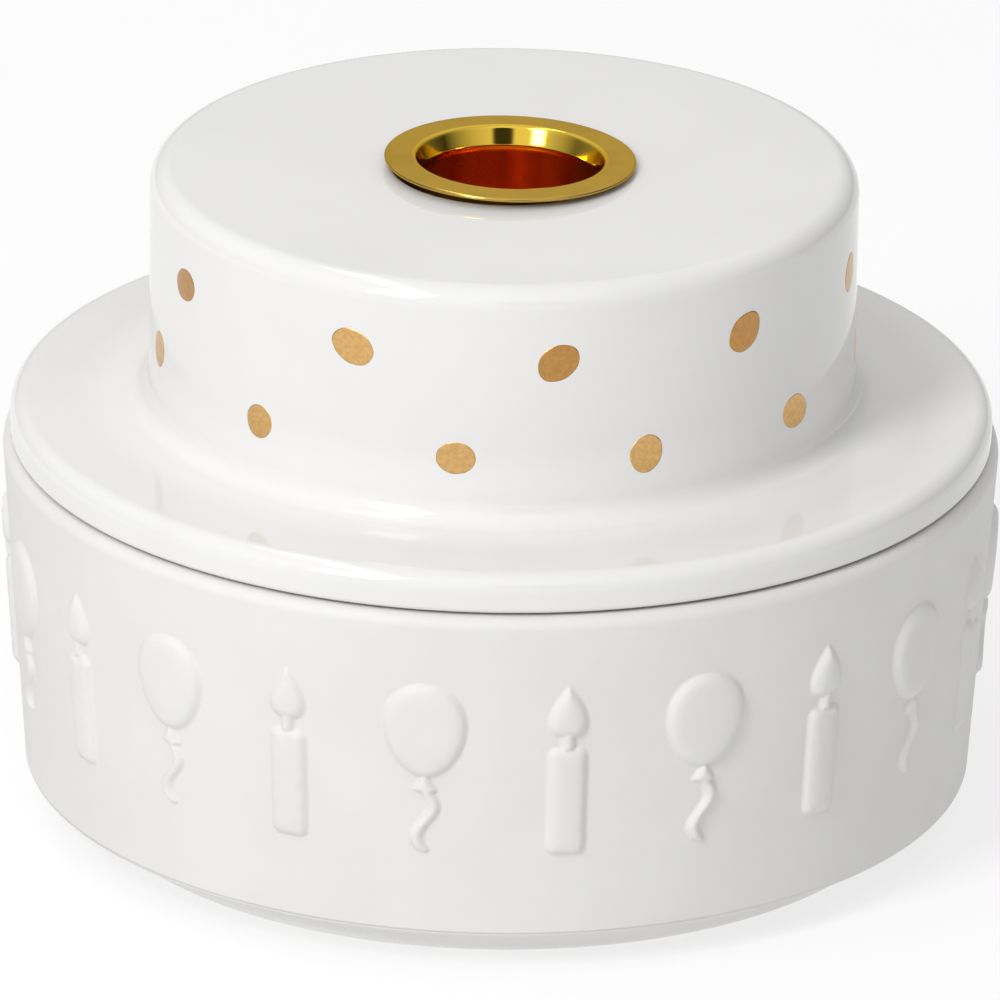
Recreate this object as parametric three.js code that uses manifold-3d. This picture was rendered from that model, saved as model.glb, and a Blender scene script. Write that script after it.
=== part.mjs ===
// A porcelain box in the shape of a two-tier birthday cake, with a candle cup in its top.
// Millimetres, +Z up, origin at the centre of the surface it stands on, front towards -Y.
// Three pieces rest on or in each other: the bisque base with a raised frieze and a foot ring,
// the glazed lid with the cake's upper tier, and the sheet metal cup in the lid's socket.

import * as THREE from "three";
import { mergeVertices } from "three/addons/utils/BufferGeometryUtils.js";
import Module from "manifold-3d";

const wasm = await Module();
wasm.setup();

// Driving dimensions

const boxRadius = 57.5; // the base's wall under its rounded top edge
const baseHeight = 44.3; // top of the base, where the lid rests
const seatGap = 0.3; // clearance between pieces that rest on each other

const foot = {
  radius: 48,
  width: 4,
  height: 4.6, // from the table to the underside of the wall
  recess: 1.5, // depth of the shallow hollow inside the ring
  edge: 0.3,
};

const wall = {
  bottomRadius: 54.75,
  bottomRound: 0.5,
  topRound: 1.4,
};

const frieze = {
  slots: 22, // candles and balloons by turns
  middleHeight: 25.6,
  halfHeight: 10.5,
  relief: 0.8,
  shoulder: 0.4, // bevel round each raised form
  sunk: 0.9, // how far a form reaches into the wall
};

const candle = {
  width: 4.4,
  top: 2.9, // heights in the frieze are from its middle line
  corner: 1.1,
  wickWidth: 1.2,
  flameBottom: 4.1,
  flameHalfWidth: 2.2,
};

const balloon = {
  halfWidth: 4.7,
  halfHeight: 5.8,
  taper: 0.13, // how much narrower it is towards its knot
  points: 13,
  knotHalfWidth: 1.4,
  knotHeight: 1.6,
  stringWidth: 1.4,
  stringSway: 1,
  stringSteps: 4,
};

const flange = {
  radius: 56.6,
  outerHeight: 49.25, // top of the flange at its rim
  rise: 0, // from the rim to the upper tier
  topRound: 2,
  bottomRound: 1,
};

const tier = {
  radius: 40.65,
  top: 77.3,
  topRound: 2.5,
  fillet: 2.6,
};

const socket = {
  radius: 12.9,
  depth: 19,
  edge: 0.5,
};

const cup = {
  rimRadius: 14.45,
  flatRadius: 11.25, // where the flat rim ends and the funnel begins
  flatRise: 0.12, // the rim is a little higher on its inside
  lipRound: 0.55,
  funnelLean: 22,
  throatRadius: 10.05,
  throatDepth: 2.2,
  wellRadius: 10.3,
  depth: 16,
  sheet: 0.5,
  seatGap: 0.2,
};

const cupLean = THREE.MathUtils.degToRad(1.6);
const cupRaisedSide = THREE.MathUtils.degToRad(45); // from the front towards the left
const cupShift = new THREE.Vector2(0.6, -0.6); // the loose cup sits a little off centre

const aroundBase = 96;
const aroundLid = 80;
const aroundCup = 48;

// Profiles are lists of [radius, height] points, from the axis at the bottom,
// up the outside, and back to the axis at the top.

function arc(centreRadius, centreHeight, radius, fromDegrees, toDegrees, steps) {
  const points = [];
  for (let i = 0; i <= steps; i++) {
    const share = i / steps;
    const angle = THREE.MathUtils.degToRad(fromDegrees + (toDegrees - fromDegrees) * share);
    points.push([
      centreRadius + radius * Math.cos(angle),
      centreHeight + radius * Math.sin(angle),
    ]);
  }
  return points;
}

function turned(profile, around) {
  const points = profile.map(([radius, height]) => new THREE.Vector2(radius, height));
  return new THREE.LatheGeometry(points, around).rotateX(Math.PI / 2);
}

// Solids

function solid(geometry) {
  const bare = geometry.clone();
  bare.deleteAttribute("normal");
  bare.deleteAttribute("uv");
  const merged = mergeVertices(bare, 1e-3);
  return new wasm.Manifold(
    new wasm.Mesh({
      numProp: 3,
      vertProperties: new Float32Array(merged.attributes.position.array),
      triVerts: new Uint32Array(merged.index.array),
    }),
  );
}

function geometryOf(body) {
  const mesh = body.getMesh();
  const positions = new Float32Array(mesh.numVert * 3);
  for (let i = 0; i < mesh.numVert; i++) {
    positions.set(mesh.vertProperties.subarray(i * mesh.numProp, i * mesh.numProp + 3), i * 3);
  }
  const geometry = new THREE.BufferGeometry();
  geometry.setAttribute("position", new THREE.BufferAttribute(positions, 3));
  geometry.setIndex(new THREE.BufferAttribute(mesh.triVerts, 1));
  geometry.computeVertexNormals();
  return geometry;
}

// Base

function wallRadiusAt(height) {
  const share = (height - foot.height) / (baseHeight - foot.height);
  return THREE.MathUtils.lerp(wall.bottomRadius, boxRadius, share);
}

function baseProfile() {
  return [
    [0, foot.recess],
    [foot.radius - foot.width, foot.recess],
    [foot.radius - foot.width, 0],
    ...arc(foot.radius - foot.edge, foot.edge, foot.edge, -90, 0, 1),
    [foot.radius, foot.height],
    ...arc(
      wall.bottomRadius - wall.bottomRound,
      foot.height + wall.bottomRound,
      wall.bottomRound,
      -90,
      0,
      2,
    ),
    ...arc(boxRadius - wall.topRound, baseHeight - wall.topRound, wall.topRound, 0, 90, 3),
    [0, baseHeight],
  ];
}

// Where an arc meets a line the outline holds one point twice, which would leave a face of no width.
function withoutRepeats(points) {
  return points.filter((point, i) => point.distanceTo(points.at(i - 1)) > 1e-3);
}

// A flat outline in the frieze becomes a bevelled slab that is bent round the wall.
function raisedForm(shape, slotAngle, curveSegments) {
  const { shape: rim, holes } = shape.extractPoints(curveSegments);
  const clean = new THREE.Shape(withoutRepeats(rim));
  clean.holes = holes.map((hole) => new THREE.Path(withoutRepeats(hole)));
  const slab = new THREE.ExtrudeGeometry(clean, {
    depth: frieze.sunk + frieze.relief - 2 * frieze.shoulder,
    bevelThickness: frieze.shoulder,
    bevelSize: frieze.shoulder,
    bevelOffset: -frieze.shoulder,
    bevelSegments: 1,
  });
  const position = slab.attributes.position;
  for (let i = 0; i < position.count; i++) {
    const height = frieze.middleHeight + position.getY(i);
    const angle = slotAngle + position.getX(i) / wallRadiusAt(frieze.middleHeight);
    const proud = position.getZ(i) + frieze.shoulder - frieze.sunk;
    const radius = wallRadiusAt(height) + proud;
    position.setXYZ(i, radius * Math.sin(angle), -radius * Math.cos(angle), height);
  }
  return solid(slab);
}

function barShape(halfWidth, bottom, top, corner) {
  const shape = new THREE.Shape();
  shape.moveTo(-halfWidth + corner, bottom);
  shape.lineTo(halfWidth - corner, bottom);
  shape.absarc(halfWidth - corner, bottom + corner, corner, -Math.PI / 2, 0);
  shape.lineTo(halfWidth, top - corner);
  shape.absarc(halfWidth - corner, top - corner, corner, 0, Math.PI / 2);
  shape.lineTo(-halfWidth + corner, top);
  shape.absarc(-halfWidth + corner, top - corner, corner, Math.PI / 2, Math.PI);
  shape.lineTo(-halfWidth, bottom + corner);
  shape.absarc(-halfWidth + corner, bottom + corner, corner, Math.PI, 1.5 * Math.PI);
  return shape;
}

function flameShape() {
  const bottom = candle.flameBottom;
  const tip = frieze.halfHeight;
  const reach = candle.flameHalfWidth * 1.32; // handle length that gives the wanted width
  const shape = new THREE.Shape();
  shape.moveTo(0, bottom);
  shape.bezierCurveTo(reach, bottom, reach, bottom + (tip - bottom) * 0.5, 0, tip);
  shape.bezierCurveTo(-reach, bottom + (tip - bottom) * 0.5, -reach, bottom, 0, bottom);
  return shape;
}

function candleForms(slotAngle) {
  const body = barShape(candle.width / 2, -frieze.halfHeight, candle.top, candle.corner);
  const wick = new THREE.Shape([
    new THREE.Vector2(-candle.wickWidth / 2, candle.top - 0.5),
    new THREE.Vector2(candle.wickWidth / 2, candle.top - 0.5),
    new THREE.Vector2(candle.wickWidth / 2, candle.flameBottom + 0.5),
    new THREE.Vector2(-candle.wickWidth / 2, candle.flameBottom + 0.5),
  ]);
  return [
    raisedForm(body, slotAngle, 1),
    raisedForm(wick, slotAngle, 1),
    raisedForm(flameShape(), slotAngle, 4),
  ];
}

function balloonShape(centre) {
  const points = [];
  for (let i = 0; i < balloon.points; i++) {
    const angle = (2 * Math.PI * i) / balloon.points;
    const width = balloon.halfWidth * (1 + balloon.taper * Math.cos(angle));
    points.push(
      new THREE.Vector2(width * Math.sin(angle), centre + balloon.halfHeight * Math.cos(angle)),
    );
  }
  return new THREE.Shape(points.reverse());
}

function stringShape(top) {
  const left = [];
  const right = [];
  for (let i = 0; i <= balloon.stringSteps; i++) {
    const share = i / balloon.stringSteps;
    const height = THREE.MathUtils.lerp(top, -frieze.halfHeight, share);
    const sway = balloon.stringSway * Math.sin(2 * Math.PI * share);
    left.push(new THREE.Vector2(sway - balloon.stringWidth / 2, height));
    right.unshift(new THREE.Vector2(sway + balloon.stringWidth / 2, height));
  }
  return new THREE.Shape([...left, ...right]);
}

function balloonForms(slotAngle) {
  const centre = frieze.halfHeight - balloon.halfHeight;
  const neck = centre - balloon.halfHeight;
  const knotBottom = neck - balloon.knotHeight;
  const knot = new THREE.Shape([
    new THREE.Vector2(0, neck + balloon.knotHeight / 2),
    new THREE.Vector2(-balloon.knotHalfWidth, knotBottom),
    new THREE.Vector2(balloon.knotHalfWidth, knotBottom),
  ]);
  return [
    raisedForm(balloonShape(centre), slotAngle, 1),
    raisedForm(knot, slotAngle, 1),
    raisedForm(stringShape(knotBottom + 0.5), slotAngle, 1),
  ];
}

function makeBase() {
  let body = solid(turned(baseProfile(), aroundBase));
  const pitch = (2 * Math.PI) / frieze.slots;
  for (let slot = 0; slot < frieze.slots; slot++) {
    const angle = (slot + 0.5) * pitch;
    const forms = slot % 2 ? balloonForms(angle) : candleForms(angle);
    for (const form of forms) {
      body = body.add(form);
    }
  }
  const bisque = new THREE.MeshStandardMaterial({ color: 0xf1f0ee, roughness: 0.75 });
  const mesh = new THREE.Mesh(geometryOf(body), bisque);
  mesh.name = "base";
  return mesh;
}

// Lid

function lidProfile() {
  const bottom = baseHeight + seatGap;
  const filletTop = flange.outerHeight + flange.rise;
  return [
    [0, bottom],
    ...arc(
      flange.radius - flange.bottomRound,
      bottom + flange.bottomRound,
      flange.bottomRound,
      -90,
      0,
      2,
    ),
    ...arc(
      flange.radius - flange.topRound,
      flange.outerHeight - flange.topRound,
      flange.topRound,
      0,
      90,
      4,
    ),
    ...arc(tier.radius + tier.fillet, filletTop + tier.fillet, tier.fillet, 270, 180, 4),
    ...arc(tier.radius - tier.topRound, tier.top - tier.topRound, tier.topRound, 0, 90, 5),
    ...arc(socket.radius + socket.edge, tier.top - socket.edge, socket.edge, 90, 180, 1),
    [socket.radius, tier.top - socket.depth],
    [0, tier.top - socket.depth],
  ];
}

function makeLid() {
  const glaze = new THREE.MeshStandardMaterial({ color: 0xf4f3f1, roughness: 0.12 });
  const mesh = new THREE.Mesh(turned(lidProfile(), aroundLid), glaze);
  mesh.name = "lid";
  return mesh;
}

// Candle cup: heights are from the underside of its flat rim

function cupProfile() {
  const { sheet, flatRadius, flatRise, lipRound } = cup;
  const top = sheet + flatRise;
  const throatHeight = top - cup.throatDepth;
  const floorHeight = sheet - cup.depth;
  const outerRadius = cup.wellRadius + sheet;
  return [
    [0, floorHeight - sheet],
    [outerRadius - 1, floorHeight - sheet],
    [outerRadius, floorHeight - sheet + 1],
    [outerRadius, throatHeight + 0.5],
    [flatRadius, flatRise],
    [cup.rimRadius - sheet / 3, 0],
    [cup.rimRadius, sheet / 2],
    [cup.rimRadius - sheet / 3, sheet],
    ...arc(flatRadius, top - lipRound, lipRound, 90, 180 - cup.funnelLean, 2),
    [cup.throatRadius, throatHeight],
    [cup.wellRadius, throatHeight - 0.6],
    [cup.wellRadius, floorHeight],
    [0, floorHeight],
  ];
}

function makeCup() {
  const brass = new THREE.MeshStandardMaterial({
    color: 0xc79a3e,
    roughness: 0.25,
    metalness: 1,
  });
  const mesh = new THREE.Mesh(turned(cupProfile(), aroundCup), brass);
  mesh.name = "candle_cup";
  const raisedSide = new THREE.Vector3(-Math.sin(cupRaisedSide), -Math.cos(cupRaisedSide), 0);
  const hinge = new THREE.Vector3(raisedSide.y, -raisedSide.x, 0);
  mesh.quaternion.setFromAxisAngle(hinge, cupLean);
  const rimDrop = cup.rimRadius * Math.sin(cupLean);
  mesh.position.set(cupShift.x, cupShift.y, tier.top + cup.seatGap + rimDrop);
  return mesh;
}

const cakeBox = new THREE.Group();
cakeBox.name = "cake_box";
cakeBox.add(makeBase(), makeLid(), makeCup());

export default cakeBox;
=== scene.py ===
import math
import random

import bmesh
import bpy
from mathutils import Euler, Matrix, Vector
from mathutils.kdtree import KDTree


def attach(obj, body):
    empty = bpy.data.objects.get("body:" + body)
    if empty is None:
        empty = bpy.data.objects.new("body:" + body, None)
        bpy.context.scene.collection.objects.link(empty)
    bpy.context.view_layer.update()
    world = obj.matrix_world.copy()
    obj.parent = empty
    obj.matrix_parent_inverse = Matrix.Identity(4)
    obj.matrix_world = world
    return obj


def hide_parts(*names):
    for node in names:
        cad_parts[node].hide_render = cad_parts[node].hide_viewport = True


# A porcelain box in the shape of a two-tier cake: a matt base with a raised frieze,
# a glazed lid with gold dots, and a sheet metal cup for a candle.
# Metres, +Z up, front towards -Y. The main sizes are those of the solids, but for the seam
# between base and lid, which lies 0.2 mm higher.

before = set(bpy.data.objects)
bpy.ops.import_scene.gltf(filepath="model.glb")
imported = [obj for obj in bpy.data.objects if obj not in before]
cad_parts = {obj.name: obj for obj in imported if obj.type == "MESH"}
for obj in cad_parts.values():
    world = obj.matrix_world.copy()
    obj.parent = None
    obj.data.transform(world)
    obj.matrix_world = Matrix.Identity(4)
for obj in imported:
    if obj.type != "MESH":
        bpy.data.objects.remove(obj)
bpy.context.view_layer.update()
mm = 0.001


# Profiles are lists of (radius, height), from the axis below, up the outside, to the axis on top.

def arcPoints(centre, radius, fromDegrees, toDegrees, steps):
    points = []
    for i in range(steps + 1):
        angle = math.radians(fromDegrees + (toDegrees - fromDegrees) * i / steps)
        points.append((centre[0] + radius * math.cos(angle), centre[1] + radius * math.sin(angle)))
    return points


# a straight stretch, with a close row at each end so that shading stays flat up to a rounding
def straight(start, end, step, closeRow=0.25 * mm):
    a, b = Vector(start), Vector(end)
    length = (b - a).length
    if length <= 3 * closeRow:
        return [tuple(a), tuple(b)]
    shares = [0, closeRow / length]
    count = max(1, round((length - 2 * closeRow) / step))
    for i in range(1, count + 1):
        shares.append(closeRow / length + (1 - 2 * closeRow / length) * i / count)
    shares.append(1)
    return [tuple(a.lerp(b, share)) for share in shares]


def latheMesh(name, profile, around):
    points = [profile[0]]
    for point in profile[1:]:
        if (Vector(point) - Vector(points[-1])).length > 0.002 * mm:
            points.append(point)
    rings = points[1:-1]
    vertices = [(0, 0, points[0][1])]
    for radius, height in rings:
        for i in range(around):
            angle = 2 * math.pi * i / around
            vertices.append((radius * math.sin(angle), -radius * math.cos(angle), height))
    vertices.append((0, 0, points[-1][1]))
    top = len(vertices) - 1
    faces = []
    for i in range(around):
        after = (i + 1) % around
        faces.append((0, 1 + after, 1 + i))
        for row in range(len(rings) - 1):
            lower = 1 + row * around
            upper = lower + around
            faces.append((lower + i, lower + after, upper + after, upper + i))
        last = top - around
        faces.append((last + i, last + after, top))
    mesh = bpy.data.meshes.new(name)
    mesh.from_pydata(vertices, [], faces)
    mesh.validate()
    mesh.shade_smooth()
    return mesh


def addObject(name, mesh):
    piece = bpy.data.objects.new(name, mesh)
    bpy.context.scene.collection.objects.link(piece)
    return piece


# Node trees: a key of inputs is a socket's name or number, a value is a number or another socket

def addNode(tree, kind, inputs=None, **settings):
    node = tree.nodes.new(kind)
    for key, value in settings.items():
        setattr(node, key, value)
    for key, value in (inputs or {}).items():
        if isinstance(value, bpy.types.NodeSocket):
            tree.links.new(value, node.inputs[key])
        else:
            node.inputs[key].default_value = value
    return node


def calc(tree, operation, *values):
    node = addNode(tree, "ShaderNodeMath", dict(enumerate(values)), operation=operation)
    return node.outputs[0]


def between(tree, value, low, high, toLow=0.0, toHigh=1.0):
    inputs = {"Value": value, "From Min": low, "From Max": high, "To Min": toLow, "To Max": toHigh}
    node = addNode(tree, "ShaderNodeMapRange", inputs, interpolation_type="SMOOTHSTEP")
    return node.outputs["Result"]


def lengthOf(tree, first, second):
    squares = [calc(tree, "MULTIPLY", side, side) for side in (first, second)]
    return calc(tree, "SQRT", calc(tree, "ADD", *squares))


def newTree(name, sockets):
    tree = bpy.data.node_groups.new(name, "GeometryNodeTree")
    tree.interface.new_socket("Geometry", in_out="INPUT", socket_type="NodeSocketGeometry")
    for label, kind in sockets:
        tree.interface.new_socket(label, in_out="INPUT", socket_type=kind)
    tree.interface.new_socket("Geometry", in_out="OUTPUT", socket_type="NodeSocketGeometry")
    start = tree.nodes.new("NodeGroupInput")
    return tree, start.outputs


def endTree(tree, geometry, material):
    realized = addNode(tree, "GeometryNodeRealizeInstances", {"Geometry": geometry})
    painted = addNode(
        tree,
        "GeometryNodeSetMaterial",
        {"Geometry": realized.outputs["Geometry"], "Material": material},
    )
    addNode(tree, "NodeGroupOutput", {"Geometry": painted.outputs["Geometry"]})


# runs a tree on an object's mesh and gives the result as a new, plain object
def runTree(name, source, tree, values):
    modifier = source.modifiers.new("nodes", "NODES")
    modifier.node_group = tree
    for item in tree.interface.items_tree:
        if item.in_out == "INPUT" and item.name in values:
            modifier[item.identifier] = values[item.name]
    bpy.context.view_layer.update()
    evaluated = source.evaluated_get(bpy.context.evaluated_depsgraph_get())
    mesh = bpy.data.meshes.new_from_object(evaluated)
    source.modifiers.remove(modifier)
    mesh.name = name
    mesh.shade_smooth()
    bpy.data.objects.remove(source)
    return addObject(name, mesh)


# Finishes

# stretches of a noise's middle values, for clouds and for patches
cloudRange = (0.35, 0.65)
patchRange = (0.3, 0.7)


def newMaterial(name):
    material = bpy.data.materials.new(name)
    material.use_nodes = True
    tree = material.node_tree
    shader = tree.nodes["Principled BSDF"]
    place = addNode(tree, "ShaderNodeTexCoord").outputs["Object"]
    return material, tree, shader, place


def noiseValue(tree, place, size, detail=2.0, rough=0.5):
    node = addNode(
        tree,
        "ShaderNodeTexNoise",
        {"Vector": place, "Scale": 1 / size, "Detail": detail, "Roughness": rough},
    )
    return node.outputs["Fac"]


def mixColour(tree, share, first, second):
    node = addNode(tree, "ShaderNodeMix", data_type="RGBA")
    for key, value in ((0, share), (6, first), (7, second)):
        if isinstance(value, bpy.types.NodeSocket):
            tree.links.new(value, node.inputs[key])
        else:
            node.inputs[key].default_value = value if key == 0 else (*value, 1)
    return node.outputs[2]


def addBump(tree, height, distance, strength, before=None):
    inputs = {"Height": height, "Distance": distance, "Strength": strength}
    if before is not None:
        inputs["Normal"] = before
    return addNode(tree, "ShaderNodeBump", inputs).outputs["Normal"]


bisqueLook = {
    "colour": (0.671, 0.666, 0.657),
    "shade": (0.653, 0.647, 0.637),
    "footBounceLight": (0.82, 0.815, 0.805),
    "footTop": (4.2 * mm, 4.9 * mm),  # up to this height the foot ring is painted paler, as painted light bounced up from the white floor
    "speck": (0.52, 0.48, 0.43),
    "cloudSize": 14 * mm,
    "grainSize": 0.22 * mm,
    "grainDepth": 0.02 * mm,
    "speckSpacing": 7 * mm,
    "speckSize": 0.1 * mm,
    "speckStrength": 0.6,
    "roughness": (0.56, 0.70),
}


def bisqueMaterial():
    look = bisqueLook
    material, tree, shader, place = newMaterial("bisque")
    cloud = noiseValue(tree, place, look["cloudSize"], 4)
    body = mixColour(tree, between(tree, cloud, *cloudRange), look["shade"], look["colour"])
    height = addNode(tree, "ShaderNodeSeparateXYZ", {0: place}).outputs["Z"]
    # painted light: the foot ring is painted paler, standing in for the bounce from the white floor
    body = mixColour(tree, between(tree, height, *look["footTop"]), look["footBounceLight"], body)
    cells = addNode(
        tree,
        "ShaderNodeTexVoronoi",
        {"Vector": place, "Scale": 1 / look["speckSpacing"], "Randomness": 1.0},
    )
    size = look["speckSize"] / look["speckSpacing"]
    speck = between(tree, cells.outputs["Distance"], size * 0.5, size, look["speckStrength"], 0.0)
    colour = mixColour(tree, speck, body, look["speck"])
    tree.links.new(colour, shader.inputs["Base Color"])
    patches = noiseValue(tree, place, look["cloudSize"] * 0.4, 3)
    low, high = look["roughness"]
    tree.links.new(between(tree, patches, *patchRange, low, high), shader.inputs["Roughness"])
    grain = noiseValue(tree, place, look["grainSize"], 3, 0.6)
    normal = addBump(tree, grain, look["grainDepth"], 0.35)
    tree.links.new(normal, shader.inputs["Normal"])
    shader.inputs["IOR"].default_value = 1.45
    return material


glazeLook = {
    "colour": (0.692, 0.687, 0.678),
    "pooled": (0.676, 0.671, 0.662),
    "cornerPaintedLight": (0.740, 0.735, 0.726),
    "corner": (41 * mm, 50 * mm),  # radius and height of the inner corner, painted lighter there to lift the shade that gathers in it
    "cornerReach": (3 * mm, 9 * mm),
    "cloudSize": 22 * mm,
    "waveSize": 30 * mm,
    "waveDepth": 0.03 * mm,
    "peelSize": 2.2 * mm,
    "peelDepth": 0.0012 * mm,
    "roughness": (0.035, 0.075),
}


def glazeMaterial():
    look = glazeLook
    material, tree, shader, place = newMaterial("glaze")
    cloud = noiseValue(tree, place, look["cloudSize"], 3)
    colour = mixColour(tree, between(tree, cloud, *cloudRange), look["pooled"], look["colour"])
    spot = addNode(tree, "ShaderNodeSeparateXYZ", {0: place}).outputs
    outward = calc(tree, "SUBTRACT", lengthOf(tree, spot["X"], spot["Y"]), look["corner"][0])
    upward = calc(tree, "SUBTRACT", spot["Z"], look["corner"][1])
    away = lengthOf(tree, outward, upward)
    # painted light: the glaze is lighter near the inner corner between tier and flange, lifting the shade
    # there
    colour = mixColour(tree, between(tree, away, *look["cornerReach"]), look["cornerPaintedLight"], colour)
    tree.links.new(colour, shader.inputs["Base Color"])
    low, high = look["roughness"]
    patches = noiseValue(tree, place, look["cloudSize"] * 0.3, 3)
    tree.links.new(between(tree, patches, *patchRange, low, high), shader.inputs["Roughness"])
    wave = addBump(tree, noiseValue(tree, place, look["waveSize"], 0), look["waveDepth"], 1.0)
    peel = noiseValue(tree, place, look["peelSize"], 1)
    normal = addBump(tree, peel, look["peelDepth"], 1.0, wave)
    tree.links.new(normal, shader.inputs["Normal"])
    shader.inputs["IOR"].default_value = 1.5
    return material


goldLook = {
    "lower": (0.73, 0.435, 0.15),
    "upper": (0.52, 0.265, 0.064),
    "thinShare": 0.86,
    "change": (61 * mm, 65 * mm),  # height between the two rows
    "highlightSpot": (-17 * mm, -37 * mm, 69 * mm),  # painted highlight: the upper-row dot that catches the key softbox's sheen is as pale as the lower row
    "highlightReach": (4 * mm, 7 * mm),
    "cloudSize": 0.5 * mm,
    "grainSize": 0.15 * mm,
    "grainDepth": 0.004 * mm,
    "roughness": (0.34, 0.46),
}


def goldMaterial():
    look = goldLook
    material, tree, shader, place = newMaterial("goldLustre")
    cloud = noiseValue(tree, place, look["cloudSize"], 3)
    height = addNode(tree, "ShaderNodeSeparateXYZ", {0: place}).outputs["Z"]
    # painted highlight: near this spot the upper row's dot keeps the paler colour of the lower row
    away = addNode(tree, "ShaderNodeVectorMath", {0: place, 1: look["highlightSpot"]}, operation="DISTANCE")
    notHighlit = between(tree, away.outputs["Value"], *look["highlightReach"])
    isUpper = calc(tree, "MULTIPLY", between(tree, height, *look["change"]), notHighlit)
    thick = mixColour(tree, isUpper, look["lower"], look["upper"])
    thinLower = tuple(part * look["thinShare"] for part in look["lower"])
    thinUpper = tuple(part * look["thinShare"] for part in look["upper"])
    thin = mixColour(tree, isUpper, thinLower, thinUpper)
    colour = mixColour(tree, between(tree, cloud, *cloudRange), thin, thick)
    tree.links.new(colour, shader.inputs["Base Color"])
    grain = noiseValue(tree, place, look["grainSize"], 2)
    low, high = look["roughness"]
    tree.links.new(between(tree, grain, *patchRange, low, high), shader.inputs["Roughness"])
    normal = addBump(tree, grain, look["grainDepth"], 0.5)
    tree.links.new(normal, shader.inputs["Normal"])
    shader.inputs["Metallic"].default_value = 1.0
    shader.inputs["Coat Weight"].default_value = 0.6
    shader.inputs["Coat Roughness"].default_value = 0.08
    return material


# Base

baseSize = {
    "boxRadius": 57.5 * mm,
    "height": 44.5 * mm,
    "footRadius": 48 * mm,
    "footWidth": 4 * mm,
    "footHeight": 4.6 * mm,
    "footEdge": 0.5 * mm,
    "footRound": 0.4 * mm,  # between the foot ring and the wall's underside
    "recess": 1.5 * mm,
    "wallBottomRadius": 54.75 * mm,
    "bottomRound": 0.5 * mm,
    "topRound": 1.4 * mm,
    "around": 450,
    "friezeRow": 0.75 * mm,
    "plainRow": 2.5 * mm,
}

friezeSize = {
    "slots": 22,
    "middle": 25.6 * mm,
    "halfHeight": 10.5 * mm,
    "margin": 1.2 * mm,  # of close rows above and below
    "relief": 0.8 * mm,
    "shoulder": 1.3 * mm,
    "roundness": 2.2,
    "apron": 0.08 * mm,
    "outlineStep": 0.3 * mm,
    "splitReach": 0.75 * mm,
    "splitMargin": 1 * mm,
    "splits": 2,
    "dome": 0.14 * mm,
    "domeReach": 3.6 * mm,
    "grooveDepth": 0.14 * mm,
    "grooveSpacing": 2.6 * mm,
    "candleWidth": 4.4 * mm,
    "candleTop": 2.9 * mm,  # heights in the frieze are from its middle line
    "candleCorner": 1.1 * mm,
    "wickWidth": 1.5 * mm,
    "wickOverlap": (0.5 * mm, 1.2 * mm),  # into the candle and into the flame
    "flameBottom": 4.1 * mm,
    "flameHalfWidth": 2.2 * mm,
    "flameBulge": 1.32,
    "balloonHalfWidth": 4.7 * mm,
    "balloonHalfHeight": 5.8 * mm,
    "balloonTaper": 0.13,
    "knotHalfWidth": 1.4 * mm,
    "knotHeight": 1.6 * mm,
    "stringWidth": 1.5 * mm,
    "stringSway": 1 * mm,
    "stringSteps": 28,
    "stringTail": 0.94,  # share of the string's length where its end begins to narrow
    "stringNarrowing": 0.060828,
    "lineRelief": 0.85,  # relief and shoulder of wicks and strings, as shares of the other forms'
    "lineShoulder": 0.6,
}


def wallRadiusAt(height):
    size = baseSize
    share = (height - size["footHeight"]) / (size["height"] - size["footHeight"])
    return size["wallBottomRadius"] + (size["boxRadius"] - size["wallBottomRadius"]) * share


def baseProfile():
    size = baseSize
    edge = size["footEdge"]
    inner = size["footRadius"] - size["footWidth"]
    outer = size["footRadius"]
    underside = size["footHeight"]
    footRound, bottomRound, topRound = size["footRound"], size["bottomRound"], size["topRound"]
    band = friezeSize["halfHeight"] + friezeSize["margin"]
    bandBottom = friezeSize["middle"] - band
    bandTop = friezeSize["middle"] + band
    points = [(0, size["recess"])]
    points += straight((4 * mm, size["recess"]), (inner - edge, size["recess"]), 8 * mm)
    points += arcPoints((inner - edge, size["recess"] - edge), edge, 90, 0, 4)
    points += arcPoints((inner + edge, edge), edge, 180, 270, 4)
    points += arcPoints((outer - edge, edge), edge, -90, 0, 6)
    points += straight((outer, edge), (outer, underside - footRound), size["plainRow"])
    points += arcPoints((outer + footRound, underside - footRound), footRound, 180, 90, 4)
    wallFoot = size["wallBottomRadius"] - bottomRound
    points += straight((outer + footRound, underside), (wallFoot, underside), 3 * mm)
    points += arcPoints((wallFoot, underside + bottomRound), bottomRound, -90, 0, 6)
    low = underside + bottomRound
    points += straight(
        (wallRadiusAt(low), low), (wallRadiusAt(bandBottom), bandBottom), size["plainRow"]
    )
    rows = round((bandTop - bandBottom) / size["friezeRow"])
    for i in range(1, rows + 1):
        height = bandBottom + (bandTop - bandBottom) * i / rows
        points.append((wallRadiusAt(height), height))
    high = size["height"] - topRound
    points += straight((wallRadiusAt(bandTop), bandTop), (wallRadiusAt(high), high), size["plainRow"])
    points += arcPoints((wallRadiusAt(high) - topRound, high), topRound, 0, 90, 10)
    points += straight(
        (wallRadiusAt(high) - topRound, size["height"]), (6 * mm, size["height"]), 25 * mm
    )
    points.append((0, size["height"]))
    return points


# flat outlines of the raised forms, as single faces in the XZ plane

def flatForm(name, outline):
    mesh = bpy.data.meshes.new(name)
    vertices = [(x, 0, z) for x, z in outline]
    mesh.from_pydata(vertices, [], [tuple(range(len(vertices)))])
    return addObject(name, mesh)


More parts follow.
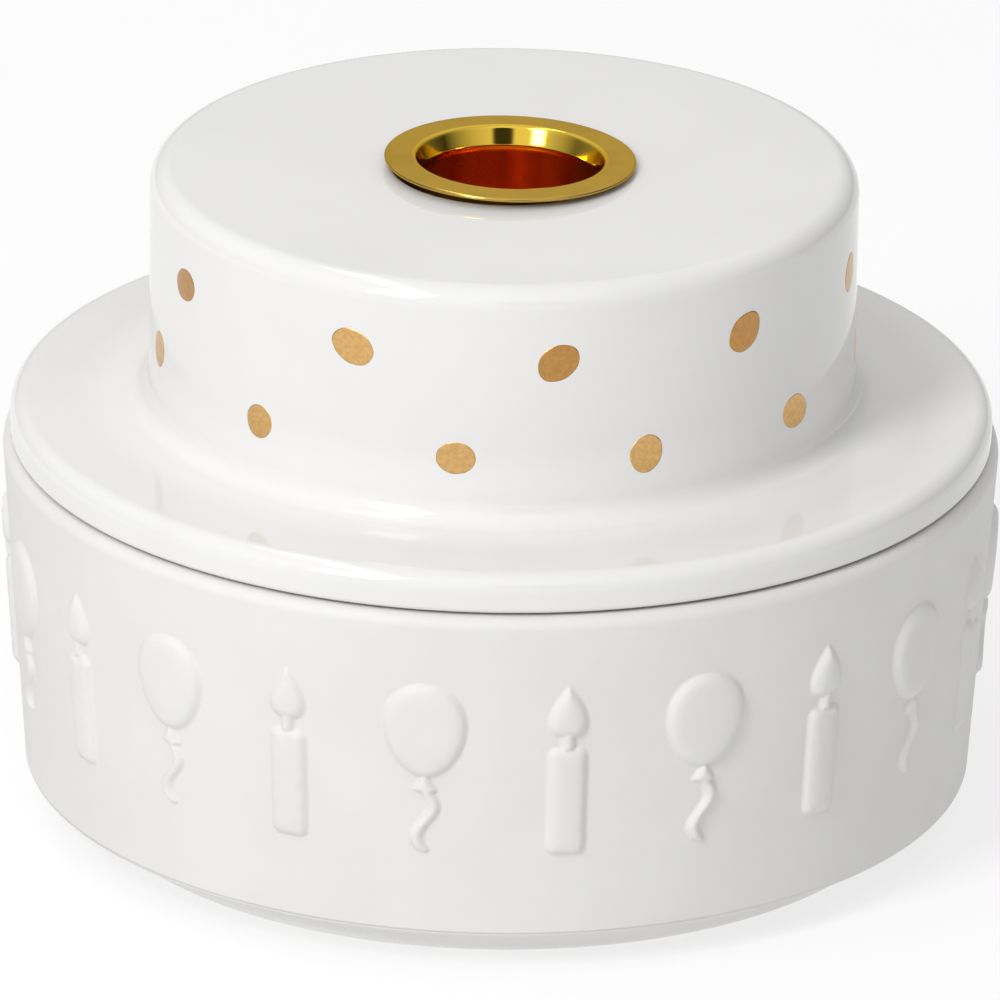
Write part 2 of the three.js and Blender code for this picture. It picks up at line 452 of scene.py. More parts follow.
# where the outlines run on the unrolled wall, as closely set points
def outlinePoints(candleForms, balloonForms):
    frieze = friezeSize
    radius = wallRadiusAt(frieze["middle"])
    points = []
    for slot in range(frieze["slots"]):
        middle = (-math.pi + (slot + 0.5) * 2 * math.pi / frieze["slots"]) * radius
        for form in candleForms if slot % 2 else balloonForms:
            outline = [vertex.co for vertex in form.data.vertices]
            for i, start in enumerate(outline):
                end = outline[i - 1]
                steps = max(1, round((end - start).length / frieze["outlineStep"]))
                for k in range(steps):
                    place = start.lerp(end, k / steps)
                    points.append((middle + place.x, frieze["middle"] + place.z, 0))
    return points


# The wall's faces along the outlines are split, so that the edges of the forms come out crisp.
def splitAlong(mesh, points):
    frieze = friezeSize
    radius = wallRadiusAt(frieze["middle"])
    insideWall = radius - 3 * mm
    band = frieze["halfHeight"] + frieze["splitMargin"]
    tree = KDTree(len(points))
    for i, point in enumerate(points):
        tree.insert(point, i)
    tree.balance()
    wall = bmesh.new()
    wall.from_mesh(mesh)
    for _ in range(frieze["splits"]):
        edges = set()
        for face in wall.faces:
            centre = face.calc_center_median()
            if abs(centre.z - frieze["middle"]) > band or math.hypot(centre.x, centre.y) < insideWall:
                continue
            unrolled = (math.atan2(centre.x, -centre.y) * radius, centre.z, 0)
            if tree.find(unrolled)[2] < frieze["splitReach"]:
                edges.update(face.edges)
        bmesh.ops.subdivide_edges(wall, edges=list(edges), cuts=1, use_grid_fill=True)
        for vertex in wall.verts:
            if abs(vertex.co.z - frieze["middle"]) < band + frieze["splitMargin"]:
                flat = math.hypot(vertex.co.x, vertex.co.y)
                if flat > insideWall:
                    share = wallRadiusAt(vertex.co.z) / flat
                    vertex.co.x *= share
                    vertex.co.y *= share
    wall.to_mesh(mesh)
    wall.free()
    mesh.shade_smooth()


def candleBar():
    size = friezeSize
    corner = size["candleCorner"]
    side = size["candleWidth"] / 2 - corner
    top, bottom = size["candleTop"] - corner, -size["halfHeight"] + corner
    outline = arcPoints((side, bottom), corner, -90, 0, 8)
    outline += arcPoints((side, top), corner, 0, 90, 8)
    outline += arcPoints((-side, top), corner, 90, 180, 8)
    outline += arcPoints((-side, bottom), corner, 180, 270, 8)
    return flatForm("candleBar", outline)


def candleFlame():
    size = friezeSize
    bottom, tip = size["flameBottom"], size["halfHeight"]
    reach = size["flameHalfWidth"] * size["flameBulge"]
    middle = bottom + (tip - bottom) * 0.5
    steps = 20
    right = []
    for i in range(steps):
        share = i / steps
        x = 3 * (1 - share) ** 2 * share * reach + 3 * (1 - share) * share**2 * reach
        low = (1 - share) ** 3 + 3 * (1 - share) ** 2 * share
        z = bottom * low + 3 * (1 - share) * share**2 * middle + share**3 * tip
        right.append((x, z))
    left = [(-x, z) for x, z in right[1:]]
    return flatForm("candleFlame", right + [(0, tip)] + left[::-1])


def candleWick():
    size = friezeSize
    side = size["wickWidth"] / 2
    intoCandle, intoFlame = size["wickOverlap"]
    low, high = size["candleTop"] - intoCandle, size["flameBottom"] + intoFlame
    return flatForm("candleWick", [(-side, low), (side, low), (side, high), (-side, high)])


def balloonBody():
    size = friezeSize
    centre = size["halfHeight"] - size["balloonHalfHeight"]
    around = 64
    outline = []
    for i in range(around):
        angle = -2 * math.pi * i / around
        width = size["balloonHalfWidth"] * (1 + size["balloonTaper"] * math.cos(angle))
        height = centre + size["balloonHalfHeight"] * math.cos(angle)
        outline.append((width * math.sin(angle), height))
    return flatForm("balloonBody", outline)


def balloonString():
    size = friezeSize
    neck = size["halfHeight"] - 2 * size["balloonHalfHeight"]
    knotBottom = neck - size["knotHeight"]
    bottom = -size["halfHeight"]
    half = size["stringWidth"] / 2
    left, right = [], []
    for i in range(1, size["stringSteps"] + 1):
        share = i / size["stringSteps"]
        height = knotBottom + (bottom - knotBottom) * share
        sway = size["stringSway"] * math.sin(2 * math.pi * share)
        past = max(0, share - size["stringTail"]) / size["stringNarrowing"]
        pinch = half * math.sqrt(1 - past**2)
        left.append((sway - pinch, height))
        right.append((sway + pinch, height))
    knot = [(0, neck + size["knotHeight"] / 2), (-size["knotHalfWidth"], knotBottom)]
    return flatForm("balloonString", knot + left + right[::-1] + [(size["knotHalfWidth"], knotBottom)])


# The tree sets the forms in a row of slots, measures how far inside or outside a form each point
# of the wall lies when the wall is unrolled, and lifts the point by a soft-shouldered height.
def friezeTree():
    tree, given = newTree("frieze", [
        ("Slots", "NodeSocketInt"),
        ("Wall radius", "NodeSocketFloat"),
        ("Middle height", "NodeSocketFloat"),
        ("Relief", "NodeSocketFloat"),
        ("Shoulder", "NodeSocketFloat"),
        ("Roundness", "NodeSocketFloat"),
        ("Apron", "NodeSocketFloat"),
        ("Dome", "NodeSocketFloat"),
        ("Dome reach", "NodeSocketFloat"),
        ("Groove depth", "NodeSocketFloat"),
        ("Groove spacing", "NodeSocketFloat"),
        ("Candle bar", "NodeSocketObject"),
        ("Candle flame", "NodeSocketObject"),
        ("Candle wick", "NodeSocketObject"),
        ("Balloon body", "NodeSocketObject"),
        ("Balloon string", "NodeSocketObject"),
        ("Material", "NodeSocketMaterial"),
    ])
    length = calc(tree, "MULTIPLY", given["Wall radius"], 2 * math.pi)
    pitch = calc(tree, "DIVIDE", length, given["Slots"])
    first = calc(tree, "MULTIPLY", calc(tree, "SUBTRACT", pitch, length), 0.5)
    start = addNode(tree, "ShaderNodeCombineXYZ", {"X": first, "Z": given["Middle height"]}).outputs[0]
    step = addNode(tree, "ShaderNodeCombineXYZ", {"X": pitch}).outputs[0]
    slotRow = addNode(
        tree, "GeometryNodeMeshLine", {"Count": given["Slots"], "Start Location": start, "Offset": step}
    ).outputs["Mesh"]
    index = addNode(tree, "GeometryNodeInputIndex").outputs[0]
    isCandle = calc(tree, "FLOORED_MODULO", index, 2.0)
    isBalloon = calc(tree, "SUBTRACT", 1.0, isCandle)

    def placed(form, chosen):
        shape = addNode(tree, "GeometryNodeObjectInfo", {"Object": form}).outputs["Geometry"]
        inputs = {"Points": slotRow, "Instance": shape, "Selection": chosen}
        return addNode(tree, "GeometryNodeInstanceOnPoints", inputs).outputs["Instances"]

    def layer(*parts):
        joined = addNode(tree, "GeometryNodeJoinGeometry")
        for part in parts:
            tree.links.new(part, joined.inputs[0])
        inputs = {"Geometry": joined.outputs[0]}
        return addNode(tree, "GeometryNodeRealizeInstances", inputs).outputs[0]

    bars = layer(placed(given["Candle bar"], isCandle))
    domes = layer(placed(given["Candle flame"], isCandle), placed(given["Balloon body"], isBalloon))
    lines = layer(placed(given["Candle wick"], isCandle), placed(given["Balloon string"], isBalloon))

    position = addNode(tree, "GeometryNodeInputPosition").outputs[0]
    parts = addNode(tree, "ShaderNodeSeparateXYZ", {0: position}).outputs
    angle = calc(tree, "ARCTAN2", parts["X"], calc(tree, "MULTIPLY", parts["Y"], -1.0))
    along = calc(tree, "MULTIPLY", angle, given["Wall radius"])
    unrolled = addNode(tree, "ShaderNodeCombineXYZ", {"X": along, "Z": parts["Z"]}).outputs[0]

    def depthInside(forms):
        distances = []
        for kind in ("FACES", "EDGES"):
            near = addNode(tree, "GeometryNodeProximity", {0: forms}, target_element=kind)
            tree.links.new(unrolled, near.inputs["Sample Position"])
            distances.append(near.outputs["Distance"])
        isInside = calc(tree, "LESS_THAN", distances[0], 0.002 * mm)
        sign = calc(tree, "SUBTRACT", calc(tree, "MULTIPLY", isInside, 2.0), 1.0)
        return calc(tree, "MULTIPLY", distances[1], sign)

    # steep at the foot and round on top, like a moulded ridge
    def raised(depth, shoulder, height):
        inputs = {"Value": depth, "From Min": apron, "From Max": shoulder}
        share = addNode(tree, "ShaderNodeMapRange", inputs).outputs["Result"]
        rest = calc(tree, "POWER", calc(tree, "SUBTRACT", 1.0, share), given["Roundness"])
        return calc(tree, "MULTIPLY", calc(tree, "SUBTRACT", 1.0, rest), height)

    apron = calc(tree, "MULTIPLY", given["Apron"], -1.0)
    barDepth, domeDepth, lineDepth = depthInside(bars), depthInside(domes), depthInside(lines)
    raisedBars = raised(barDepth, given["Shoulder"], given["Relief"])
    slope = calc(tree, "ADD", along, parts["Z"])
    turns = calc(tree, "MULTIPLY", calc(tree, "DIVIDE", slope, given["Groove spacing"]), 2 * math.pi)
    groove = calc(tree, "MULTIPLY", calc(tree, "ADD", calc(tree, "SINE", turns), 1.0), 0.5)
    grooveCut = between(tree, barDepth, 0.0, given["Shoulder"], 0.0, given["Groove depth"])
    raisedBars = calc(tree, "SUBTRACT", raisedBars, calc(tree, "MULTIPLY", groove, grooveCut))
    raisedDomes = raised(domeDepth, given["Shoulder"], given["Relief"])
    crown = between(tree, domeDepth, 0.0, given["Dome reach"], 0.0, given["Dome"])
    raisedDomes = calc(tree, "ADD", raisedDomes, crown)
    lineShoulder = calc(tree, "MULTIPLY", given["Shoulder"], friezeSize["lineShoulder"])
    lineRelief = calc(tree, "MULTIPLY", given["Relief"], friezeSize["lineRelief"])
    raisedLines = raised(lineDepth, lineShoulder, lineRelief)
    height = calc(tree, "MAXIMUM", raisedBars, calc(tree, "MAXIMUM", raisedDomes, raisedLines))

    flat = addNode(tree, "ShaderNodeCombineXYZ", {"X": parts["X"], "Y": parts["Y"]}).outputs[0]
    outward = addNode(tree, "ShaderNodeVectorMath", {0: flat}, operation="NORMALIZE").outputs[0]
    lift = addNode(tree, "ShaderNodeVectorMath", {0: outward, "Scale": height}, operation="SCALE")
    inputs = {"Geometry": given["Geometry"], "Offset": lift.outputs[0]}
    lifted = addNode(tree, "GeometryNodeSetPosition", inputs).outputs[0]
    endTree(tree, lifted, given["Material"])
    return tree


def makeBase():
    size, frieze = baseSize, friezeSize
    mesh = latheMesh("wall", baseProfile(), size["around"])
    wall = addObject("wall", mesh)
    forms = {
        "Candle bar": candleBar(),
        "Candle flame": candleFlame(),
        "Candle wick": candleWick(),
        "Balloon body": balloonBody(),
        "Balloon string": balloonString(),
    }
    shapes = list(forms.values())
    splitAlong(mesh, outlinePoints(shapes[:3], shapes[3:]))
    values = {
        "Slots": frieze["slots"],
        "Wall radius": wallRadiusAt(frieze["middle"]),
        "Middle height": frieze["middle"],
        "Relief": frieze["relief"],
        "Shoulder": frieze["shoulder"],
        "Roundness": frieze["roundness"],
        "Apron": frieze["apron"],
        "Dome": frieze["dome"],
        "Dome reach": frieze["domeReach"],
        "Groove depth": frieze["grooveDepth"],
        "Groove spacing": frieze["grooveSpacing"],
        "Material": bisqueMaterial(),
        **forms,
    }
    base = runTree("cakeBase", wall, friezeTree(), values)
    for form in forms.values():
        bpy.data.objects.remove(form)
    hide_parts("base")
    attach(base, "root")
    base.data.calc_loop_triangles()
    print("base:", len(base.data.loop_triangles), "triangles")


# Lid

lidSize = {
    "seatGap": 0.3 * mm,
    "flangeRadius": 56.6 * mm,
    "flangeHeight": 49.25 * mm,
    "rimTopRound": 2 * mm,
    "rimBottomRound": 0.6 * mm,
    "tierRadius": 40.65 * mm,
    "tierTop": 77.3 * mm,
    "tierRound": 2.5 * mm,
    "fillet": 2.6 * mm,
    "socketRadius": 12.9 * mm,
    "socketDepth": 19 * mm,
    "socketEdge": 0.6 * mm,
    "around": 480,
}


def lidProfile():
    size = lidSize
    bottom = baseSize["height"] + size["seatGap"]
    radius = size["flangeRadius"]
    low, high = size["rimBottomRound"], size["rimTopRound"]
    flange, fillet = size["flangeHeight"], size["fillet"]
    tier, top, tierRound = size["tierRadius"], size["tierTop"], size["tierRound"]
    socket, edge = size["socketRadius"], size["socketEdge"]
    socketFloor = top - size["socketDepth"]
    points = [(0, bottom)]
    points += straight((8 * mm, bottom), (radius - low, bottom), 12 * mm)
    points += arcPoints((radius - low, bottom + low), low, -90, 0, 8)
    points += straight((radius, bottom + low), (radius, flange - high), 2 * mm)
    points += arcPoints((radius - high, flange - high), high, 0, 90, 14)
    points += straight((radius - high, flange), (tier + fillet, flange), 2 * mm)
    points += arcPoints((tier + fillet, flange + fillet), fillet, 270, 180, 16)
    points += straight((tier, flange + fillet), (tier, top - tierRound), 2 * mm)
    points += arcPoints((tier - tierRound, top - tierRound), tierRound, 0, 90, 18)
    points += straight((tier - tierRound, top), (socket + edge, top), 2.5 * mm)
    points += arcPoints((socket + edge, top - edge), edge, 90, 180, 6)
    points += straight((socket, top - edge), (socket, socketFloor + edge), 6 * mm)
    points += arcPoints((socket - edge, socketFloor + edge), edge, 0, -90, 4)
    points += straight((socket - edge, socketFloor), (3 * mm, socketFloor), 5 * mm)
    points.append((0, socketFloor))
    return points


def makeLid():
    lid = addObject("cakeLid", latheMesh("cakeLid", lidProfile(), lidSize["around"]))
    lid.data.materials.append(glazeMaterial())
    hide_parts("lid")
    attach(lid, "root")
    print("lid:", len(lid.data.polygons), "faces")


# Gold dots

# Each dot that the front shows: angle from the front in degrees, height, length, width (mm),
# and turn of its long axis from level, in degrees
dotSize = {
    "upper": [
        (-62.5, 69.1, 4.6, 3.8, 20),
        (-24.5, 69.0, 5.4, 4.0, -20),
        (9.0, 68.6, 5.1, 4.0, 38),
        (42.3, 68.8, 5.1, 4.2, 42),
        (76.5, 68.3, 4.7, 4.0, 60),
    ],
    "lower": [
        (-74.5, 58.2, 4.6, 4.0, 50),
        (-42.3, 57.1, 4.0, 3.8, 60),
        (-7.1, 57.0, 4.5, 3.9, 0),
        (23.8, 56.7, 4.6, 4.0, 80),
        (55.1, 56.6, 4.8, 4.0, -15),
    ],
    "upperCount": 10,
    "lowerCount": 11,
    "angleSpread": 2.0,
    "heightSpread": 0.5,
    "lengthRange": (4.2, 5.3),
    "widthRange": (3.8, 4.1),
    "proud": 0.015 * mm,
    "sunk": 0.08 * mm,
    "wobble": 0.22 * mm,
    "wobbleSize": 3.2 * mm,
    "seed": 11,
}


# the dots behind go on evenly from the last one shown to the first, each a little off its place
def dotRow(shown, count, draw):
    dots = list(shown)
    hidden = count - len(shown)
    gap = 360 - (shown[-1][0] - shown[0][0])
    height = sum(dot[1] for dot in shown) / len(shown)
    for i in range(hidden):
        angle = shown[-1][0] + gap * (i + 1) / (hidden + 1)
        dots.append((
            angle + draw.uniform(-1, 1) * dotSize["angleSpread"],
            height + draw.uniform(-1, 1) * dotSize["heightSpread"],
            draw.uniform(*dotSize["lengthRange"]),
            draw.uniform(*dotSize["widthRange"]),
            draw.uniform(-90, 90),
        ))
    return dots


def dotPoints():
    draw = random.Random(dotSize["seed"])
    dots = dotRow(dotSize["upper"], dotSize["upperCount"], draw)
    dots += dotRow(dotSize["lower"], dotSize["lowerCount"], draw)
    mesh = bpy.data.meshes.new("dotPoints")
    radius = lidSize["tierRadius"]
    mesh.from_pydata([(math.radians(dot[0]) * radius, 0, dot[1] * mm) for dot in dots], [], [])
    columns = {
        "halfLength": [dot[2] * mm / 2 for dot in dots],
        "halfWidth": [dot[3] * mm / 2 for dot in dots],
        "turn": [-math.radians(dot[4]) for dot in dots],
    }
    for name, values in columns.items():
        mesh.attributes.new(name, "FLOAT", "POINT").data.foreach_set("value", values)
    return addObject("dotPoints", mesh)


# one dot of radius 1 m in the XZ plane, a closed lens with its paint side towards -Y
def dotBlank():
    around = 48
    proud, sunk = -dotSize["proud"], dotSize["sunk"]
    rings = [(0.45, proud), (0.8, proud), (0.93, proud * 0.75), (1.0, 0.0), (1.0, sunk)]
    vertices = [(0, proud, 0)]
    for radius, level in rings:
        for i in range(around):
            angle = 2 * math.pi * i / around
            vertices.append((radius * math.cos(angle), level, radius * math.sin(angle)))
    vertices.append((0, sunk, 0))
    back = len(vertices) - 1
    faces = []
    for i in range(around):
        after = (i + 1) % around
        faces.append((0, 1 + i, 1 + after))
        for row in range(len(rings) - 1):
            inner = 1 + row * around
            outer = inner + around
            faces.append((inner + i, outer + i, outer + after, inner + after))
        last = back - around
        faces.append((last + after, last + i, back))
    mesh = bpy.data.meshes.new("dotBlank")
    mesh.from_pydata(vertices, [], faces)
    return addObject("dotBlank", mesh)


def dotTree():
    tree, given = newTree("dots", [
        ("Dot", "NodeSocketObject"),
        ("Drum radius", "NodeSocketFloat"),
        ("Wobble", "NodeSocketFloat"),
        ("Wobble size", "NodeSocketFloat"),
        ("Material", "NodeSocketMaterial"),
    ])

    def stored(name):
        node = addNode(tree, "GeometryNodeInputNamedAttribute", data_type="FLOAT")
        node.inputs["Name"].default_value = name
        return node.outputs["Attribute"]

    blank = addNode(tree, "GeometryNodeObjectInfo", {"Object": given["Dot"]}).outputs["Geometry"]
    scaleInputs = {"X": stored("halfLength"), "Y": 1.0, "Z": stored("halfWidth")}
    scale = addNode(tree, "ShaderNodeCombineXYZ", scaleInputs).outputs[0]
    turn = addNode(tree, "ShaderNodeCombineXYZ", {"Y": stored("turn")}).outputs[0]
    rotation = addNode(tree, "FunctionNodeEulerToRotation", {0: turn}).outputs[0]
    placed = addNode(
        tree,
        "GeometryNodeInstanceOnPoints",
        {"Points": given["Geometry"], "Instance": blank, "Rotation": rotation, "Scale": scale},
    ).outputs["Instances"]
    realized = addNode(tree, "GeometryNodeRealizeInstances", {"Geometry": placed}).outputs[0]

    # the outline wanders a little, as brushed by hand
    position = addNode(tree, "GeometryNodeInputPosition").outputs[0]
    noiseScale = calc(tree, "DIVIDE", 1.0, given["Wobble size"])
    noiseInputs = {"Vector": position, "Scale": noiseScale, "Detail": 1.0}
    noise = addNode(tree, "ShaderNodeTexNoise", noiseInputs)
    centred = addNode(
        tree, "ShaderNodeVectorMath", {0: noise.outputs["Color"], 1: (0.5, 0.5, 0.5)}, operation="SUBTRACT"
    ).outputs[0]
    wander = addNode(
        tree, "ShaderNodeVectorMath", {0: centred, "Scale": given["Wobble"]}, operation="SCALE"
    ).outputs[0]
    level = addNode(
        tree, "ShaderNodeVectorMath", {0: wander, 1: (2.0, 0.0, 2.0)}, operation="MULTIPLY"
    ).outputs[0]
    loose = addNode(tree, "GeometryNodeSetPosition", {"Geometry": realized, "Offset": level}).outputs[0]

    # the flat row is wrapped round the drum
    parts = addNode(tree, "ShaderNodeSeparateXYZ", {0: position}).outputs
    angle = calc(tree, "DIVIDE", parts["X"], given["Drum radius"])
    radius = calc(tree, "SUBTRACT", given["Drum radius"], parts["Y"])
    wrappedX = calc(tree, "MULTIPLY", radius, calc(tree, "SINE", angle))
    wrappedY = calc(tree, "MULTIPLY", calc(tree, "MULTIPLY", radius, calc(tree, "COSINE", angle)), -1.0)
    wrapped = addNode(
        tree, "ShaderNodeCombineXYZ", {"X": wrappedX, "Y": wrappedY, "Z": parts["Z"]}
    ).outputs[0]
    bent = addNode(tree, "GeometryNodeSetPosition", {"Geometry": loose, "Position": wrapped}).outputs[0]
    endTree(tree, bent, given["Material"])
    return tree


def makeDots():
    blank = dotBlank()
    values = {
        "Dot": blank,
        "Drum radius": lidSize["tierRadius"],
        "Wobble": dotSize["wobble"],
        "Wobble size": dotSize["wobbleSize"],
        "Material": goldMaterial(),
    }
    dots = runTree("goldDots", dotPoints(), dotTree(), values)
    bpy.data.objects.remove(blank)
    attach(dots, "root")
    print("dots:", len(dots.data.polygons), "faces")


# Candle cup

cupSize = {
    "rimRadius": 14.45 * mm,
    "flatRadius": 11.25 * mm,  # where the flat rim ends and the lip begins
    "flatRise": 0.03 * mm,
    "lipRound": 0.55 * mm,
    "coneLean": math.radians(22),
    "throatRadius": 10.05 * mm,
    "throatDepth": 2.2 * mm,
    "throatRound": 0.4 * mm,
    "throatRun": 0.7 * mm,  # height in which the throat widens into the well
    "wellRadius": 10.3 * mm,
    "depth": 16 * mm,
    "floorRound": 0.8 * mm,
    "bottomRound": 1 * mm,
    "sheet": 0.5 * mm,
    "seatGap": 0.2 * mm,
    "lean": math.radians(1.6),
    "raisedSide": math.radians(45),  # from the front towards the left
    "shift": (0.6 * mm, -0.6 * mm),
    "around": 320,
}


def cupProfile():
    size = cupSize
    sheet, lip = size["sheet"], size["lipRound"]
    rim, flat = size["rimRadius"], size["flatRadius"]
    throat, well, ridge = size["throatRadius"], size["wellRadius"], size["throatRound"]
    top = sheet + size["flatRise"]
    throatHeight = top - size["throatDepth"]
    floorHeight = sheet - size["depth"]
    outer = well + sheet
    corner, floorRound = size["bottomRound"], size["floorRound"]
    points = [(0, floorHeight - sheet)]
    points += straight((2 * mm, floorHeight - sheet), (outer - corner, floorHeight - sheet), 4 * mm)
    points += arcPoints((outer - corner, floorHeight - sheet + corner), corner, -90, 0, 6)
    points += straight((outer, floorHeight - sheet + corner), (outer, throatHeight + 0.5 * mm), 2 * mm)
    points += straight((outer, throatHeight + 0.5 * mm), (flat, size["flatRise"]), 1 * mm)
    points += straight((flat, size["flatRise"]), (rim - sheet / 2, 0), 1 * mm)
    points += arcPoints((rim - sheet / 2, sheet / 2), sheet / 2, -90, 90, 8)
    points += straight((rim - sheet / 2, sheet), (flat, top), 0.8 * mm)
    coneNormal = 180 - math.degrees(size["coneLean"])
    points += arcPoints((flat, top - lip), lip, 90, coneNormal, 8)
    ridgeCentre = (throat + ridge, throatHeight)
    ridgeArc = arcPoints(ridgeCentre, ridge, coneNormal, 232, 8)
    points += straight(points[-1], ridgeArc[0], 0.4 * mm)
    points += ridgeArc
    wellTop = throatHeight - size["throatRun"]
    points += straight(ridgeArc[-1], (well, wellTop), 0.3 * mm)
    points += straight((well, wellTop), (well, floorHeight + floorRound), 2 * mm)
    points += arcPoints((well - floorRound, floorHeight + floorRound), floorRound, 0, -90, 6)
    points += straight((well - floorRound, floorHeight), (2 * mm, floorHeight), 3 * mm)
    points.append((0, floorHeight))
    return points


cupLook = {
    "colour": (0.78, 0.53, 0.065),
    "grazing": (0.95, 0.78, 0.42),
    "rimColour": (0.57, 0.378, 0.086),
    "rimDull": (0.51, 0.333, 0.077),
    # painted shade: below the throat the well is painted a darker red-brown, for its shade and the red of
    # light bounced round inside the cup
    "wellShadeColour": (0.80, 0.30, 0.035),
    "wellDeepShade": (0.64, 0.17, 0.02),
    "wellStart": (1.3 * mm, 0.1 * mm),  # below the throat, where the painted shade of the well begins
    "cloudSize": 5 * mm,
    "streaks": 3.0,
    "streakSpeed": 20.0,  # how fast the streaks change with height
    "turningSize": 0.14 * mm,
    "turningDepth": 0.004 * mm,
    "rimRoughness": 0.34,
    "edgeRoughness": 0.14,
    "neckRoughness": 0.10,
    "wellRoughness": 0.26,
    "roughSpread": 0.08,
}


def brassMaterial(centre):
    look = cupLook
    material, tree, shader, place = newMaterial("brass")
    moved = addNode(tree, "ShaderNodeMapping", {"Vector": place, "Location": tuple(-centre)}).outputs[0]
    parts = addNode(tree, "ShaderNodeSeparateXYZ", {0: moved}).outputs
    radius = lengthOf(tree, parts["X"], parts["Y"])
    edge = cupSize["flatRadius"]
    isRim = between(tree, radius, edge - 0.25 * mm, edge + 0.1 * mm)
    throat = cupSize["sheet"] - cupSize["throatDepth"]
    deepest, highest = look["wellStart"]
    isWell = between(tree, parts["Z"], throat - deepest, throat - highest, 1.0, 0.0)
    cloud = noiseValue(tree, place, look["cloudSize"], 3)
    rimTone = mixColour(tree, between(tree, cloud, *patchRange), look["rimDull"], look["rimColour"])
    streaks = look["streaks"] / cupSize["wellRadius"]
    aroundX = calc(tree, "MULTIPLY", parts["X"], streaks)
    aroundY = calc(tree, "MULTIPLY", parts["Y"], streaks)
    upward = calc(tree, "MULTIPLY", parts["Z"], look["streakSpeed"])
    streakPlace = addNode(tree, "ShaderNodeCombineXYZ", {"X": aroundX, "Y": aroundY, "Z": upward})
    streak = noiseValue(tree, streakPlace.outputs[0], 1.0, 3)
    # painted shade of the well, in streaks
    wellShadeTone = mixColour(tree, between(tree, streak, *cloudRange), look["wellDeepShade"], look["wellShadeColour"])
    metal = mixColour(tree, isRim, look["colour"], rimTone)
    tree.links.new(mixColour(tree, isWell, metal, wellShadeTone), shader.inputs["Base Color"])
    ringPlace = addNode(tree, "ShaderNodeCombineXYZ", {"X": radius, "Y": parts["Z"]}).outputs[0]
    turning = noiseValue(tree, ringPlace, look["turningSize"], 2)
    spread = calc(tree, "MULTIPLY", calc(tree, "SUBTRACT", turning, 0.5), look["roughSpread"])
    rough = between(tree, isRim, 0.0, 1.0, look["neckRoughness"], look["rimRoughness"])
    wellExtra = calc(tree, "MULTIPLY", isWell, look["wellRoughness"] - look["neckRoughness"])
    rough = calc(tree, "ADD", calc(tree, "ADD", rough, wellExtra), calc(tree, "MULTIPLY", spread, isRim))
    outerEdge = cupSize["rimRadius"]
    isEdge = between(tree, radius, outerEdge - 0.4 * mm, outerEdge - 0.2 * mm)
    edgeLess = calc(tree, "MULTIPLY", isEdge, look["edgeRoughness"] - look["rimRoughness"])
    rough = calc(tree, "ADD", rough, edgeLess)
    tree.links.new(rough, shader.inputs["Roughness"])
    shader.inputs["Specular Tint"].default_value = (*look["grazing"], 1)
    normal = addBump(tree, calc(tree, "MULTIPLY", turning, isRim), look["turningDepth"], 0.5)
    tree.links.new(normal, shader.inputs["Normal"])
    shader.inputs["Metallic"].default_value = 1.0
    return material


def makeCup():
    size = cupSize
    mesh = latheMesh("candleCup", cupProfile(), size["around"])
    raised = Vector((-math.sin(size["raisedSide"]), -math.cos(size["raisedSide"]), 0))
    hinge = Vector((raised.y, -raised.x, 0))
    drop = size["rimRadius"] * math.sin(size["lean"])
    height = lidSize["tierTop"] + size["seatGap"] + drop
    place = Vector((size["shift"][0], size["shift"][1], height))
    mesh.transform(Matrix.Translation(place) @ Matrix.Rotation(size["lean"], 4, hinge))
    cup = addObject("candleCup", mesh)
    mesh.materials.append(brassMaterial(place))
    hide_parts("candle_cup")
    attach(cup, "root")
    print("cup:", len(mesh.polygons), "faces")


# Floor, lights, camera

stageLook = {
    "floorSize": 12.0,
    "floorColour": (0.30, 0.30, 0.30),
    "floorGlow": 0.655,
    "target": (0, 0, 0.05),
    "keyPlace": (-0.474, -0.652, 0.636),
    "keySize": (0.26, 0.46),
    "keyPower": 5.05,
    "topPlace": (-0.34, 0.04, 1.05),
    "topSize": (1.28, 0.12),
    "topPower": 1.42,
    "front": 0.775,  # brightness of the white room around, by direction
    "back": 0.475,
    "above": 0.815,
    "right": -0.10,  # less than from the left
    "gapPlace": (0.905, 0.395, 0.165),  # direction of the dark gap behind the camera
    "gapEdge": (0.968, 0.988),
    "gapLevel": 0.04,
}


def softbox(name, place, size, power):
    data = bpy.data.lights.new(name, "AREA")
    data.shape = "RECTANGLE"
    data.size, data.size_y = size
    data.energy = power
    lamp = addObject(name, data)
    lamp.location = place
    aim = Vector(stageLook["target"]) - Vector(place)
    lamp.rotation_euler = aim.to_track_quat("-Z", "Y").to_euler()
    lamp.visible_camera = False
    return lamp


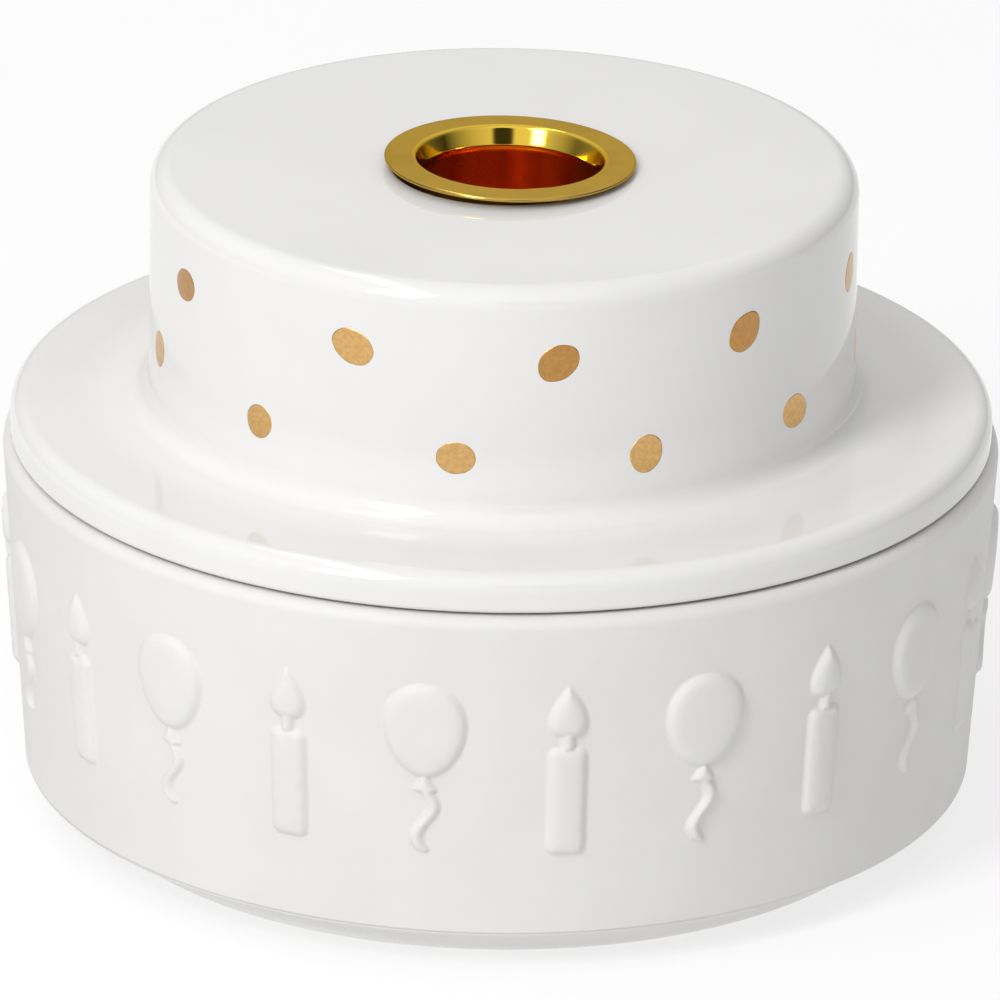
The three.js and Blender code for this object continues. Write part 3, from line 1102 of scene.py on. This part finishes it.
def makeStage():
    look = stageLook
    half = look["floorSize"] / 2
    corners = [(-half, -half, 0), (half, -half, 0), (half, half, 0), (-half, half, 0)]
    mesh = bpy.data.meshes.new("floor")
    mesh.from_pydata(corners, [], [(0, 1, 2, 3)])
    floor = addObject("floor", mesh)
    material, tree, shader, place = newMaterial("paleFloor")
    cloud = noiseValue(tree, place, 0.2, 2)
    colour = look["floorColour"]
    shade = tuple(0.99 * part for part in colour)
    tree.links.new(mixColour(tree, cloud, shade, colour), shader.inputs["Base Color"])
    shader.inputs["Roughness"].default_value = 0.9
    shader.inputs["Specular IOR Level"].default_value = 0.0
    shader.inputs["Emission Color"].default_value = (1, 1, 1, 1)
    shader.inputs["Emission Strength"].default_value = look["floorGlow"]
    mesh.materials.append(material)

    softbox("keySoftbox", look["keyPlace"], look["keySize"], look["keyPower"])
    softbox("topSoftbox", look["topPlace"], look["topSize"], look["topPower"])

    world = bpy.data.worlds.new("studio")
    world.use_nodes = True
    tree = world.node_tree
    background = tree.nodes["Background"]
    direction = addNode(tree, "ShaderNodeTexCoord").outputs["Generated"]
    parts = addNode(tree, "ShaderNodeSeparateXYZ", {0: direction}).outputs
    fromFront = calc(tree, "MAXIMUM", calc(tree, "MULTIPLY", parts["Y"], -1.0), 0.0)
    fromBack = calc(tree, "MAXIMUM", parts["Y"], 0.0)
    fromAbove = calc(tree, "MAXIMUM", parts["Z"], 0.0)
    fromRight = calc(tree, "MAXIMUM", parts["X"], 0.0)
    gapSide = calc(tree, "MULTIPLY", fromFront, look["gapPlace"][0])
    gapRise = calc(tree, "MULTIPLY", fromAbove, look["gapPlace"][1])
    nearGap = calc(tree, "ADD", gapSide, gapRise)
    inside = calc(tree, "ADD", nearGap, calc(tree, "MULTIPLY", parts["X"], look["gapPlace"][2]))
    gap = between(tree, inside, *look["gapEdge"], 1.0, look["gapLevel"])
    total = 0.0
    directions = {"front": fromFront, "back": fromBack, "above": fromAbove, "right": fromRight}
    for side, part in directions.items():
        total = calc(tree, "ADD", total, calc(tree, "MULTIPLY", part, look[side]))
    total = calc(tree, "MULTIPLY", calc(tree, "MAXIMUM", total, 0.0), gap)
    tree.links.new(total, background.inputs["Strength"])
    background.inputs["Color"].default_value = (1, 1, 1, 1)
    bpy.context.scene.world = world
    bpy.context.scene.view_settings.view_transform = "Standard"


cameraPlace = {
    "distance": 1.5,
    "height": 0.640122,
    "lookDown": 21.944,  # degrees
    "roll": 0.841,
    "lens": 503.6,
}


def makeCamera():
    data = bpy.data.cameras.new("camera")
    data.sensor_width = 36
    data.lens = cameraPlace["lens"]
    data.clip_start, data.clip_end = 0.05, 50
    camera = addObject("camera", data)
    camera.location = (0, -cameraPlace["distance"], cameraPlace["height"])
    tilt = Euler((math.radians(90 - cameraPlace["lookDown"]), 0, 0)).to_matrix()
    roll = Matrix.Rotation(math.radians(cameraPlace["roll"]), 3, "Z")
    camera.rotation_euler = (tilt @ roll).to_euler()
    bpy.context.scene.camera = camera


makeCamera()
makeStage()
print("stage: floor, two softboxes, camera")
makeBase()
makeLid()
makeDots()
makeCup()
